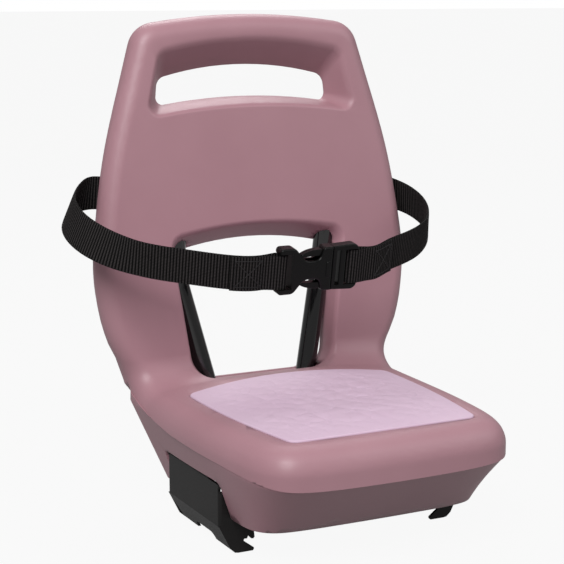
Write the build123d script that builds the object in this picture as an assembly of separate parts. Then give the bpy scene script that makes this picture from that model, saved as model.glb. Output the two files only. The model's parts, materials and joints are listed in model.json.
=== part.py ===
"""Child seat for a rear bicycle carrier, in millimetres.

X is across the seat, -Y is the way the child faces, Z is up. The origin is the middle between the
four carrier claws, at the level of the top of the carrier's rails.
"""
import os
from math import atan, cos, degrees, hypot, pi, radians, sin, sqrt

from build123d import *

os.makedirs("parts", exist_ok=True)

# Seat
seat_top_z = 96.0
seat_front_y = -148.0
seat_half_w = 126.0
seat_edge_r = 22.0
seat_crown = 6.5
shell_wall = 4.0
# Back
back_top_z = 418.2
back_half_w = 153.8
back_thick = 28.0
back_slope = 0.09
back_foot_y = 88.8
rim_front_r = 15.0
rim_rear_r = 12.0
bend_r = 28.0
cover_thick = 3.2
# Hand slot and lower opening
slot_top_z = 396.5
slot_bottom_z = 338.0
slot_half_w = 104.0
opening_top_z = 232.5
opening_floor_z = 96.4
opening_half_w = 86.5
# Pad
pad_proud = 1.5
pad_depth = 3.0
# Tray
tray_bottom_z = 18.8
tray_wall = 3.0
# Frame tube
tube_d = 18.0
tube_wall = 1.5
tube_x = 76.0
tube_low_x = 44.0
# Carrier clamp
sheet = 2.5
jaw_x = 115.0
jaw_front_y = -51.0
jaw_rear_y = 54.0
jaw_top_z = 50.0
claw_tip_x = 84.0
foot_half_w = 30.0
jaw_travel = 25.0
spindle_d = 8.0
spindle_z = 36.0
knob_d = 36.0
# Belt
web_w = 30.0
web_t = 1.6
belt_right_slope = 0.425
belt_left_slope = 0.34
belt_lean = 10.0
belt_front_y = 14.5
belt_front_z = 205.0
belt_right_out = 24.2
belt_left_out = 11.2
belt_right_w = back_half_w + belt_right_out
belt_left_w = back_half_w + belt_left_out

recline = degrees(atan(back_slope))
ca = cos(radians(recline))
sa = sin(radians(recline))
back_plane = Plane(origin=(0, back_foot_y, 0), x_dir=(1, 0, 0), z_dir=(0, -ca, sa))
belt_tilt = {-1: atan(belt_right_slope), 1: atan(belt_left_slope)}
belt_planes = {s: Plane(origin=(0, belt_front_y, belt_front_z), x_dir=(1, 0, 0), z_dir=(0, -sin(a), cos(a)))
               for s, a in belt_tilt.items()}
belt_up = Vector(0, -sin(radians(belt_lean)), cos(radians(belt_lean)))


def mirrored(points):
    """Points of the left half, in reverse order."""
    return [(-p[0], p[1]) for p in reversed(points)]


def back_y(z):
    """Y of the back's front face at height z."""
    return back_foot_y + back_slope * z


def crown(y):
    """Height of the seat's crown at y."""
    return seat_crown * (y + 150.0) / 220.0


def leg_half_w(z):
    """Half width of the legs, by height above the seat."""
    k = back_half_w / 153.8
    table = [(70, 126.6), (90, 126.8), (97, 128.0), (105, 130.4), (112, 133.4), (120, 137.0), (128, 140.6),
             (135, 143.6), (142, 145.9), (150, 148.1), (157, 149.7), (165, 151), (180, 153), (195, 153.8)]
    z = z + 96.0 - seat_top_z
    if z <= table[0][0]:
        return table[0][1] * k
    for (z0, w0), (z1, w1) in zip(table, table[1:]):
        if z <= z1:
            return (w0 + (w1 - w0) * (z - z0) / (z1 - z0)) * k
    return table[-1][1] * k


def box(x0, x1, y0, y1, z0, z1):
    """Box between two corners."""
    return Pos((x0 + x1) / 2, (y0 + y1) / 2, (z0 + z1) / 2) * Box(abs(x1 - x0), abs(y1 - y0), abs(z1 - z0))


def rod(p, q, r):
    """Round bar between two points."""
    p, q = Vector(*p), Vector(*q)
    return Solid.make_cylinder(r, (q - p).length, Plane(origin=p, z_dir=(q - p).normalized()))


def flip(shape):
    """The same shape on the other side of the seat."""
    return mirror(shape, about=Plane.YZ)


def prism(points, plane, depth, both=False):
    """Extruded polygon."""
    return extrude(plane * make_face(Polyline(*points, close=True)), depth, both=both)


# Shell: back slab, seat block and the bend between them
cut_z = seat_top_z + 69.0
kw = back_half_w / 153.8
kz = (back_top_z - cut_z) / 251.0
slab_side = [(151.0 * kw, cut_z), (153.8 * kw, cut_z + 30 * kz), (149.6 * kw, cut_z + 75 * kz),
             (138.4 * kw, cut_z + 135 * kz), (121.0 * kw, cut_z + 195 * kz), (106.7 * kw, cut_z + 241.7 * kz)]
slab_side = [(x, z / ca) for x, z in slab_side]


def back_outline(inset, low):
    """Face of the back's outline, moved inward, from the height low upward."""
    side = [(x - inset, y) for x, y in slab_side[:-1]]
    tip = (slab_side[-1][0] - inset * 0.9, slab_side[-1][1] - inset)
    side = side + [tip]
    right = Spline(*side, tangents=[(0.15, 1), (-0.31, 1)])
    left = Spline(*mirrored(side), tangents=[(-0.31, -1), (0.15, -1)])
    top = ThreePointArc(tip, (0, back_top_z / ca - inset), (-tip[0], tip[1]))
    foot = [side[0]]
    if low < cut_z:
        steps = [cut_z - (cut_z - low) * i / 4 for i in range(1, 5)]
        foot += [(leg_half_w(z) - inset, z / ca) for z in steps]
    edges = [right, top, left]
    whole = mirrored(foot)[::-1] + mirrored(mirrored(foot))[::-1]
    edges.append(Polyline(*whole))
    face = make_face(edges)
    tips = [v for v in face.vertices() if v.Y > tip[1] - 0.5 and abs(abs(v.X) - tip[0]) < 0.5]
    return fillet(tips, max(26.0 - inset, 8.0))


def rim_edges(body, depth):
    """Outline edges of the slab at a depth behind its front, without the cut end."""
    found = []
    for e in body.edges():
        marks = [back_plane.to_local_coords(v.center()) for v in e.vertices()]
        marks.append(back_plane.to_local_coords(e.center()))
        level = all(abs(m.Z + depth) < 0.01 for m in marks)
        if level and not all(abs(m.Y - slab_side[0][1]) < 0.01 for m in marks):
            found.append(e)
    return found


slab = extrude(back_plane * back_outline(0.0, cut_z), -back_thick)
slab = fillet(rim_edges(slab, 0.0), rim_front_r)
slab = fillet(rim_edges(slab, back_thick), rim_rear_r)

join_y = -10.0
ks = seat_half_w / 126.0
seat_side = [(126.0, join_y), (124.6, -35), (122.5, -60), (119.0, -90), (114.5, -112), (108.0, -127),
             (98.0, -137.5), (82.0, -143.3), (42.0, -147.2)]
seat_side = [(x * ks, join_y + (y - join_y) * (seat_front_y - join_y) / -138.0) for x, y in seat_side]


def seat_plan(inset, rear_y):
    """Face of the seat's outline seen from above, moved inward."""
    side = []
    for x, y in seat_side:
        lean = hypot(x / 126.0, (y + 30.0) / 118.0)
        side.append((x - inset * x / 126.0 / lean, y - inset * min(0.0, y + 60.0) / 118.0 / lean))
    side[0] = (seat_side[0][0] - inset, join_y)
    tip = (0, seat_front_y + inset)
    front = Spline(*(side + [tip] + mirrored(side)), tangents=[(-0.05, -1), (-0.05, 1)])
    if rear_y <= join_y:
        return make_face([front, Line(mirrored(side)[-1], side[0])])
    w = side[0][0]
    return make_face([front, Polyline((-w, join_y), (-w, rear_y), (w, rear_y), (w, join_y))])


def under_crown(rise, low=10.0):
    """Solid below the crowned seat surface, moved up by rise."""
    w = 150.0
    k = seat_half_w - seat_edge_r
    faces = []
    for y in (-175.0, 84.0):
        c = crown(y)
        z = seat_top_z + rise
        edge = z + c * (1 - (w / k) ** 2)
        top = ThreePointArc((-w, edge), (0, z + c), (w, edge))
        side = Polyline((w, edge), (w, low), (-w, low), (-w, edge))
        faces.append(Plane(origin=(0, y, 0), x_dir=(1, 0, 0), z_dir=(0, -1, 0)) * make_face([top, side]))
    return loft(faces, ruled=True)


def solid_of(shape):
    """Largest solid of a result."""
    return max(shape.solids(), key=lambda s: s.volume)


seat_low_z = seat_top_z - 46.0
block = extrude(Plane.XY.offset(seat_low_z) * seat_plan(0.0, join_y), 70.0)
block = solid_of(block & under_crown(0.0))
block_top = max([e for e in block.edges() if e.length > 300], key=lambda e: e.center().Z)
block = fillet(block_top, seat_edge_r)
block_low = min([e for e in block.edges() if e.length > 300], key=lambda e: e.center().Z)
block = fillet(block_low, 5.0)
block_end = [f for f in block.faces() if abs(f.center().Y - join_y) < 0.01 and abs(f.normal_at().Y) > 0.99][0]
slab_end = min(slab.faces(), key=lambda f: f.center().Z)

bend_z = seat_top_z + bend_r
bend_y = back_y(bend_z) - bend_r / ca


def section(origin, phi, half, edge_r, low_r, depth, rise):
    """Cross-section of seat or legs: crowned top, rounded edges, flat underside."""
    k = half - edge_r
    tangent = None
    for i in range(241):
        x = k * 0.9 + i * (half - k * 0.9) / 240
        if abs(x - k) < edge_r:
            low = rise * (1 - (x / k) ** 2) - sqrt(edge_r ** 2 - (x - k) ** 2)
            if tangent is None or low < tangent[0]:
                tangent = (low, x)
    zc, xt = tangent
    zt = zc + sqrt(edge_r ** 2 - (xt - k) ** 2)
    mid = (pi / 2 - atan((xt - k) / (zt - zc))) / 2
    xm, zm = k + edge_r * cos(mid), zc + edge_r * sin(mid)
    r = low_r * (1 - sqrt(0.5))
    b = -depth
    top = ThreePointArc((xt, zt), (0, rise), (-xt, zt)) if rise > 0.02 else Line((xt, zt), (-xt, zt))
    edges = [top, ThreePointArc((-xt, zt), (-xm, zm), (-half, zc)), Line((-half, zc), (-half, b + low_r)),
             ThreePointArc((-half, b + low_r), (-half + r, b + r), (-half + low_r, b)),
             Line((-half + low_r, b), (half - low_r, b)),
             ThreePointArc((half - low_r, b), (half - r, b + r), (half, b + low_r)),
             Line((half, b + low_r), (half, zc)), ThreePointArc((half, zc), (xm, zm), (xt, zt))]
    at = Plane(origin=origin, x_dir=(1, 0, 0), z_dir=(0, -cos(phi), -sin(phi)))
    return at * make_face(edges)


stations = [block_end]
for y in (10.0, 30.0, 50.0):
    wide = seat_half_w + (y - join_y) * 0.032
    stations.append(section((0, y, seat_top_z), 0.0, wide, seat_edge_r, 5.0, 46.0, crown(y)))
bend_steps = 16
for i in range(bend_steps + 1):
    f = i / bend_steps
    phi = radians((90.0 - recline) * f)
    depth = 46.0 + (back_thick - 46.0) * f
    at = (0, bend_y + bend_r * sin(phi), bend_z - bend_r * cos(phi))
    wide = leg_half_w(max(at[2] - depth / 2 * cos(phi), seat_top_z - 6.0))
    wide = max(wide, (seat_half_w + (bend_y - join_y) * 0.032) * (1 - f) + wide * f)
    edge = seat_edge_r + (rim_front_r - seat_edge_r) * f
    stations.append(section(at, phi, wide, edge, 5.0 + (rim_rear_r - 5.0) * f, depth,
                            crown(bend_y) * (1 - f) ** 1.5))
for q in (0.25, 0.5, 0.75):
    z = bend_z + (cut_z - bend_z) * q
    stations.append(section((0, back_y(z), z), radians(90.0 - recline), leg_half_w(z), rim_front_r, rim_rear_r,
                            back_thick, 0.0))
stations.append(slab_end)
bend = loft(stations, ruled=True)
hull = block.fuse(bend)
hull = hull.fuse(slab)

# Parting surface between shell and tray, rising to the rear
part_line = [(-190, 61.5), (-148, 63.2), (-124, 66.5), (-97, 69.0), (-69, 70.5), (-25, 71.5), (21, 73.2), (55, 77.5),
             (85, 84.5), (110, 93.0), (170, 117.0)]
part_line = [(y, z + seat_top_z - 96.0) for y, z in part_line]


def below_parting(drop):
    """Everything under the parting surface, lowered by drop."""
    pts = [(y, z - drop) for y, z in part_line]
    face = make_face(Polyline(*pts, (170, -60), (-190, -60), close=True))
    return extrude(Plane(origin=(-220, 0, 0), x_dir=(0, 1, 0), z_dir=(1, 0, 0)) * face, 440.0)


# Openings through the back, both tapering to the rear
def tapered(front, rear, f):
    """Numbers between the front and the rear outline, at the fraction f of the thickness."""
    return [a + (b - a) * f for a, b in zip(front, rear)]


def arched(values, at, grow, sink=1.0):
    """Arched four-sided outline on a plane behind the back's front face, its floor sinking by a share of grow."""
    top_w, top_z, top_rise, low_w, low_z, low_rise, top_r, low_r = values
    top_z, low_z = (top_z + grow) / ca, (low_z - grow * sink) / ca
    top_w, low_w = top_w + grow, low_w + grow
    a, b, c, d = (-top_w, top_z), (top_w, top_z), (low_w, low_z), (-low_w, low_z)
    low = ThreePointArc(c, (0, low_z + low_rise), d) if low_rise > 0.1 else Line(c, d)
    face = make_face([ThreePointArc(a, (0, top_z + top_rise), b), Line(b, c), low, Line(d, a)])
    tops = [v for v in face.vertices() if v.Y > (top_z + low_z) / 2]
    lows = [v for v in face.vertices() if v.Y < (top_z + low_z) / 2]
    face = fillet(tops, top_r + grow)
    lows = [v for v in face.vertices() if v.Y < low_z + 1.0 and abs(abs(v.X) - low_w) < 1.0]
    face = fillet(lows, low_r + grow)
    return back_plane.offset(at) * face


slot_front = (slot_half_w - 15.0, slot_top_z - 10.5, 10.5, slot_half_w, slot_bottom_z - 9.5, 9.5, 12.0, 9.0)
slot_rear = (slot_half_w - 22.0, slot_top_z - 35.0, 11.4, slot_half_w - 20.0, slot_bottom_z + 1.9, 6.7, 10.0, 6.0)
open_front = (opening_half_w, opening_top_z - 9.5, 9.5, 68.0, opening_floor_z, 0.0, 12.0, 24.0)
open_rear = (opening_half_w - 10.5, opening_top_z - 24.5, 10.0, 68.0, opening_floor_z - 6.6, 0.0, 10.0, 24.0)


def through(front, rear, lip, sink):
    """Tool for a tapered opening with an eased front edge, its floor eased by the share sink."""
    faces = [arched(tapered(front, rear, -lip / 60.0), lip, 4.0 + lip * 0.8, sink),
             arched(tapered(front, rear, 0.0), 0.0, 3.2, sink),
             arched(tapered(front, rear, 0.05), -1.2, 1.2, sink),
             arched(tapered(front, rear, 0.15), -4.2, 0.0, sink),
             arched(tapered(front, rear, 0.93), -back_thick + 2.0, 0.0, sink),
             arched(tapered(front, rear, 1.0), -back_thick, 1.6, sink),
             arched(tapered(front, rear, 1.1), -back_thick - 3.0, 4.0, sink)]
    return loft(faces, ruled=True)


def plain_through(front, rear, grow):
    """Tool without eased edges, for the walls around an opening."""
    faces = [arched(tapered(front, rear, -0.2), 0.2 * back_thick, grow),
             arched(tapered(front, rear, 1.15), -1.15 * back_thick, grow)]
    return loft(faces, ruled=True)


slot_tool = through(slot_front, slot_rear, 0.8, 1.0)
open_tool = through(open_front, open_rear, 30.0, 0.0)
open_tool = solid_of(open_tool - box(-200, 200, -50, bend_y - 6.0, 0, 160))

# Hollow of the seat and pocket in the rear of the back, with walls left round the openings
seat_hollow = extrude(Plane.XY.offset(20.0) * seat_plan(shell_wall, 100.0), 100.0)
seat_hollow = solid_of(seat_hollow & under_crown(-shell_wall - 0.5))
hollow_top = max([e for e in seat_hollow.edges() if e.length > 300], key=lambda e: e.center().Z)
seat_hollow = fillet(hollow_top, seat_edge_r - shell_wall)
floor_y = back_y(opening_floor_z)
over_floor = prism([(floor_y - 36.0, opening_floor_z + 4.2), (floor_y, opening_floor_z - 3.4), (floor_y, 140.0),
                    (floor_y - 36.0, 140.0)], Plane(origin=(-78, 0, 0), x_dir=(0, 1, 0), z_dir=(1, 0, 0)), 156.0)
seat_hollow = seat_hollow - over_floor
pocket_low_z = seat_top_z + 26.0
pocket = extrude(back_plane.offset(-shell_wall) * back_outline(10.0, pocket_low_z), -60.0)
pocket = pocket - plain_through(slot_front, slot_rear, 4.0) - plain_through(open_front, open_rear, 4.5)
pocket = solid_of(pocket)

# Frame tube
tube_low_z = jaw_top_z + 2.5 + tube_d / 2


def bent(points, radii):
    """Path of straight lines and arcs through corner points."""
    pts = [Vector(*p) for p in points]
    edges = []
    start = pts[0]
    for p, q, s, r in zip(pts, pts[1:], pts[2:], radii):
        u = (q - p).normalized()
        v = (s - q).normalized()
        half = (pi - u.get_angle(v) * pi / 180.0) / 2
        run = r / abs(sin(half) / cos(half))
        a, b = q - u * run, q + v * run
        mid = (v - u).normalized()
        centre = q + mid * (r / sin(half))
        edges.append(Line(start, a))
        edges.append(ThreePointArc(a, centre - mid * r, b))
        start = b
    edges.append(Line(start, pts[-1]))
    return Wire(edges)


tube_top_z = opening_top_z + 56.0
tube_back = 0.5 * tube_d + shell_wall + 1.6
exit_z = opening_top_z + 4.0
knee_z = opening_top_z - 45.0
tube_half = [(tube_x, back_y(tube_top_z) + tube_back, tube_top_z),
             (tube_x - 0.4, back_y(exit_z) + tube_back + 0.3, exit_z),
             (tube_x - 2.8, back_y(knee_z) + tube_back + 10.4, knee_z),
             (tube_low_x, back_y(100.0) + 15.0, tube_low_z), (tube_low_x, -70.0, tube_low_z)]
tube_path = bent([(-x, y, z) for x, y, z in reversed(tube_half)] + tube_half,
                 [36.0, 80.0, 60.0, 40.0, 40.0, 60.0, 80.0, 36.0])
tube_start = Plane(origin=tube_path @ 0, z_dir=tube_path % 0)


def along_tube(r):
    """Solid round bar on the tube's path."""
    return sweep(tube_start * Circle(r), path=tube_path)


tube_bar = along_tube(tube_d / 2)
frame_tube = tube_bar - along_tube(tube_d / 2 - tube_wall)
tube_hole = along_tube(tube_d / 2 + 0.3)

# Belt anchors and screws of the back
anchor_x = 104.0
anchor_s = {s: (back_y(252.0) + 14.0 - belt_front_y) / cos(a) for s, a in belt_tilt.items()}
anchor_r = 3.0


def on_belt(s, x, back, n=0.0):
    """Point of the belt's loop on the side s in the seat's frame, n up along the webbing's width."""
    return tuple(belt_planes[s].from_local_coords(Vector(s * x, back, 0)) + belt_up * n)


bar_half = web_w / 2 + 9.5
bars = [rod(on_belt(s, anchor_x, anchor_s[s], -bar_half), on_belt(s, anchor_x, anchor_s[s], bar_half), anchor_r)
        for s in (-1, 1)]
cradles = []
for s in (-1, 1):
    for n in (-1, 1):
        c = on_belt(s, anchor_x, anchor_s[s], n * (web_w / 2 + 7.5))
        cradles.append(Pos(c[0], back_y(c[2]) + 10.0, c[2]) * Box(14.0, 20.5, 5.0))
inner_x = tube_x - tube_d / 2 - 8.0
cover_spots = [(inner_x, 262.0), (92.0 * kw, 304.0), (124.0 * kw, 205.0), (110.0 * kw, 150.0)]
cover_spots = [(s * x, z / ca) for x, z in cover_spots for s in (1, -1)]
cover_front = -back_thick + cover_thick
bosses = []
for x, t in cover_spots:
    bosses.append(extrude(back_plane.offset(-1.0) * Pos(x, t) * Circle(5.0), cover_front + 1.1))
tray_spots = [(-78.0, -80.0), (78.0, -80.0), (-72.0, 72.0), (72.0, 72.0)]
tray_bosses = []
boss_z = tray_bottom_z + 16.0
for x, y in tray_spots:
    top = seat_top_z - 2.0 + crown(y) * (1 - (x / (seat_half_w - seat_edge_r)) ** 2)
    tray_bosses.append(rod((x, y, boss_z), (x, y, top), 6.0))

def pad_outline(grow):
    """Face of the pad seen from above."""
    a = (84.0 * ks + grow, -119.0 - grow)
    b = (97.5 * ks + grow, 50.0 + grow)
    edges = [ThreePointArc((-a[0], a[1]), (0, a[1] - 2.0), a), ThreePointArc(a, (95.0 * ks + grow, -40.0), b),
             ThreePointArc(b, (0, b[1] + 13.0), (-b[0], b[1])),
             ThreePointArc((-b[0], b[1]), (-95.0 * ks - grow, -40.0), (-a[0], a[1]))]
    return fillet(make_face(edges).vertices(), 9.0 + grow)


pad_blank = extrude(Plane.XY.offset(seat_top_z - 20.0) * pad_outline(0.0), 60.0)
recess = extrude(Plane.XY.offset(seat_top_z - 20.0) * pad_outline(0.15), 60.0)
recess = recess - under_crown(-pad_depth + 0.5)
rear_slope = prism([(101, opening_floor_z + 3), (160, opening_floor_z + 3), (160, 55), (128, 62)],
                   Plane(origin=(-62, 0, 0), x_dir=(0, 1, 0), z_dir=(1, 0, 0)), 124.0)
for post in tray_bosses:
    seat_hollow = seat_hollow - post
for post in bosses + cradles:
    pocket = pocket - post
for bar in bars:
    pocket = pocket + bar
for x, t in cover_spots:
    pocket = pocket + extrude(back_plane.offset(cover_front - 1.0) * Pos(x, t) * Circle(1.6), 17.0)
for x, y in tray_spots:
    seat_hollow = seat_hollow + rod((x, y, boss_z - 20), (x, y, boss_z + 18.0), 1.7)
    seat_hollow = seat_hollow - rod((x, y, boss_z - 1), (x, y, boss_z - 30), 6.0)
shell = hull - recess
shell = shell - slot_tool
shell = shell - open_tool
shell = shell - rear_slope
shell = shell - below_parting(0.0)
shell = shell - seat_hollow
shell = shell - pocket
shell = shell - tube_hole
shell = solid_of(shell)
pad = solid_of((pad_blank & under_crown(pad_proud)) - under_crown(-pad_depth + 0.5))
pad_top = [e for e in pad.edges() if e.center().Z > seat_top_z + pad_proud - 2.2]
pad_rim = max(pad.faces(), key=lambda f: f.center().Z)
pad = fillet(pad_rim.edges(), 1.2)
export_step(shell, "parts/seat_shell.step")
export_step(pad, "parts/seat_pad.step")

# Back cover with belt slots
cover = extrude(back_plane.offset(cover_front) * back_outline(10.3, pocket_low_z + 0.3), -cover_thick)
cover = cover - plain_through(slot_front, slot_rear, 4.3) - plain_through(open_front, open_rear, 4.8)
belt_gap_x = anchor_x + 4.2
for s in (-1, 1):
    c = on_belt(s, belt_gap_x + 0.8, anchor_s[s] + 10.0)
    cover = cover - Pos(c[0], c[1], c[2]) * Box(7.0, 40.0, web_w + 8.0)
for x, t in cover_spots:
    cover = cover - extrude(back_plane.offset(cover_front + 1.0) * Pos(x, t) * Circle(2.1), -cover_thick - 2.0)
cover = solid_of(cover - tube_hole)
export_step(cover, "parts/back_cover.step")


def pan_screw(r, head_r, head_h, length):
    """Pan-head screw along Z: head above the origin, shank below, cross recess."""
    head = Pos(0, 0, head_h / 2) * Cylinder(head_r, head_h)
    head = fillet(head.edges().sort_by(Axis.Z)[-1], head_h * 0.45)
    for a in (0, 90):
        head = head - Pos(0, 0, head_h) * Rot(0, 0, a) * Box(head_r * 1.0, head_r * 0.28, head_h)
    return head + Pos(0, 0, -length / 2) * Cylinder(r, length)


cover_screw = pan_screw(1.55, 4.0, 2.4, 13.0)
cover_screws = []
for x, t in cover_spots:
    seat_at = Plane(origin=back_plane.from_local_coords(Vector(x, t, -back_thick)), x_dir=(1, 0, 0), z_dir=(0, ca, -sa))
    cover_screws.append(seat_at * cover_screw)
export_step(Compound(cover_screws), "parts/cover_screws.step")
export_step(Compound(bars), "parts/belt_anchor_bars.step")

# Tray: sloping box from the parting line to its flat bottom, hollow, with a notch for each jaw
top_side = [(128.6, 97.0), (128.2, 60.0), (127.2, 30.0), (125.6, -10.0), (124.0, -35.0), (121.9, -60.0),
            (118.4, -90.0), (113.9, -112.0), (107.4, -126.4), (97.4, -136.9), (81.6, -142.7), (41.9, -146.6)]
low_side = [(107.0, 71.0), (106.8, 45.0), (106.4, 25.0), (106.0, -5.0), (105.6, -20.0), (105.2, -38.0),
            (104.6, -62.0), (103.2, -77.4), (99.2, -89.4), (89.6, -98.2), (74.0, -102.2), (37.0, -104.0)]
front_k = seat_front_y / -148.0


def tray_outline(side, tip_y, rear, corner, inset):
    """Closed outline of the tray, side points given from the rear to the front."""
    pts = []
    for x, y in side:
        lean = hypot(x / 120.0, (y + 20.0) / 115.0)
        pts.append(((x - inset * x / 120.0 / lean) * ks, (y - inset * min(0.0, y + 60.0) / 115.0 / lean) * front_k))
    pts[0] = ((side[0][0] - inset) * ks, side[0][1] - inset)
    front = Spline(*(pts + [(0, (tip_y + inset) * front_k)] + mirrored(pts)), tangents=[(0.0, -1), (0.0, 1)])
    x0, y0 = pts[0]
    x1, y1 = corner[0] * ks - inset, rear - inset
    q = (x1 + (x0 - x1) * 0.7, y0 + (y1 - y0) * 0.72)
    left = ThreePointArc((-x1, y1), (-q[0], q[1]), (-x0, y0))
    right = ThreePointArc((x0, y0), q, (x1, y1))
    return make_face([front, left, Line((-x1, y1), (x1, y1)), right])


tray_tilt = atan(0.08)


def tray_form(inset, lift):
    """Outer form of the tray, moved inward and its bottom up."""
    z0 = 63.0 + 0.08 * 148.0 + seat_top_z - 96.0
    top_at = Plane(origin=(0, 0, z0), x_dir=(1, 0, 0), z_dir=(0, -sin(tray_tilt), cos(tray_tilt)))
    top = tray_outline(top_side, -147.3, 126.0, (107.0, 0), inset)
    low = tray_outline(low_side, -104.4, 92.0, (87.0, 0), inset)
    body = loft([Plane.XY.offset(tray_bottom_z + lift) * low, top_at * top], ruled=True)
    return body + extrude(top_at * top, 40.0)


tray = tray_form(0.0, 0.0) & below_parting(0.25)
tray = tray - tray_form(tray_wall, tray_wall)
shelf_z = opening_floor_z - 5.0
rear_rim = box(-62.0, 62.0, 100.0, 160.0, shelf_z, 140.0)
tray = tray - rear_rim
shelf = prism([(97.3, shelf_z - 6.4), (124.0, shelf_z - 3.6), (124.0, shelf_z - 0.6), (106.0, shelf_z - 0.6),
               (97.3, shelf_z - 3.6)], Plane(origin=(-61.4, 0, 0), x_dir=(0, 1, 0), z_dir=(1, 0, 0)), 122.8)
sleeve = along_tube(tube_d / 2 + 0.3 + tray_wall) & box(-70, 70, 106.0, 150.0, shelf_z - 24.0, shelf_z - 0.3)
tray = tray + shelf + sleeve
notch_in_x = claw_tip_x - 33.0
for s in (-1, 1):
    cut = box(s * notch_in_x, s * 170.0, jaw_front_y - 1.6, jaw_rear_y + 1.6, -40.0, jaw_top_z + 0.8)
    cut = fillet([e for e in cut.edges().filter_by(Axis.X) if e.center().Z > 0], 6.0)
    tray = tray - cut
for x, y in tray_spots:
    tray = tray + rod((x, y, tray_bottom_z + 0.5), (x, y, boss_z - 0.2), 6.0)
    tray = tray - rod((x, y, tray_bottom_z - 1), (x, y, boss_z - 4.0), 4.6)
    tray = tray - rod((x, y, 0), (x, y, boss_z + 5.0), 2.1)
tray = tray - tube_hole
tray = tray - rod((0, 0, spindle_z), (200, 0, spindle_z), spindle_d / 2 + 1.0)
tray = tray - rod((jaw_x - 4.0, 0, spindle_z), (200, 0, spindle_z), knob_d / 2 + 2.0)
tray = solid_of(tray)
export_step(tray, "parts/base_tray.step")
tray_screw = pan_screw(1.65, 4.2, 2.6, 14.0)
tray_screws = [Pos(x, y, boss_z - 4.0) * Rot(180, 0, 0) * tray_screw for x, y in tray_spots]
export_step(Compound(tray_screws), "parts/tray_screws.step")
export_step(frame_tube, "parts/frame_tube.step")
plugs = []
for s in (-1, 1):
    y = -70.0
    plug = rod((s * tube_low_x, y - 2.5, tube_low_z), (s * tube_low_x, y, tube_low_z), tube_d / 2)
    plug = plug + rod((s * tube_low_x, y, tube_low_z), (s * tube_low_x, y + 12.0, tube_low_z), tube_d / 2 - tube_wall)
    plugs.append(plug)
export_step(Compound(plugs), "parts/tube_plugs.step")

# Cross channel that guides the jaws' feet, with saddles on the tube
chan_half = foot_half_w + 0.4
chan_len = jaw_x - sheet - jaw_travel - 1.0
channel = box(-chan_len, chan_len, -chan_half - 2, chan_half + 2, jaw_top_z + 0.5, jaw_top_z + 2.5)
for s in (-1, 1):
    channel = channel + box(-chan_len, chan_len, s * chan_half, s * (chan_half + 2.0), jaw_top_z - sheet - 2.5,
                            jaw_top_z + 2.5)
    channel = channel + box(-chan_len, chan_len, s * 16.0, s * (chan_half + 2.0), jaw_top_z - sheet - 2.5,
                            jaw_top_z - sheet - 0.5)
saddle_spots = [(sx * tube_low_x, sy * (chan_half - 9.0)) for sx in (-1, 1) for sy in (-1, 1)]
saddle_bolts = [(x + d * 17.0, y) for x, y in saddle_spots for d in (-1, 1)]
for x, y in saddle_bolts:
    channel = channel - rod((x, y, jaw_top_z - 4), (x, y, jaw_top_z + 6), 2.0)
bearing_bolts = [(0.0, -10.0), (0.0, 10.0)]
for x, y in bearing_bolts:
    channel = channel - rod((x, y, jaw_top_z - 4), (x, y, jaw_top_z + 6), 2.0)
export_step(channel, "parts/cross_channel.step")
floor_z = jaw_top_z + 2.5
saddles = []
for x, y in saddle_spots:
    outer = rod((x, y - 7, tube_low_z), (x, y + 7, tube_low_z), tube_d / 2 + 1.5)
    strap = outer + box(x - tube_d / 2 - 1.5, x + tube_d / 2 + 1.5, y - 7, y + 7, floor_z, tube_low_z)
    strap = strap + box(x - 23.0, x + 23.0, y - 7, y + 7, floor_z, floor_z + 1.5)
    strap = strap - box(x - 30, x + 30, y - 9, y + 9, floor_z - 20, floor_z)
    strap = strap - rod((x, y - 9, tube_low_z), (x, y + 9, tube_low_z), tube_d / 2)
    strap = strap - box(x - tube_d / 2, x + tube_d / 2, y - 9, y + 9, floor_z - 1, tube_low_z)
    for d in (-1, 1):
        strap = strap - rod((x + d * 17.0, y, floor_z - 1), (x + d * 17.0, y, floor_z + 3), 2.0)
    saddles.append(solid_of(strap))
export_step(Compound(saddles), "parts/tube_saddles.step")
saddle_screw = pan_screw(1.95, 3.6, 2.2, 4.0)
export_step(Compound([Pos(x, y, floor_z + 1.5) * saddle_screw for x, y in saddle_bolts]), "parts/saddle_screws.step")

# Carrier jaw on the child's right, folded from one sheet
fold = 3.0
lean_x = 10.0
band_z = 13.0
claw_low_z = -11.0


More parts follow.
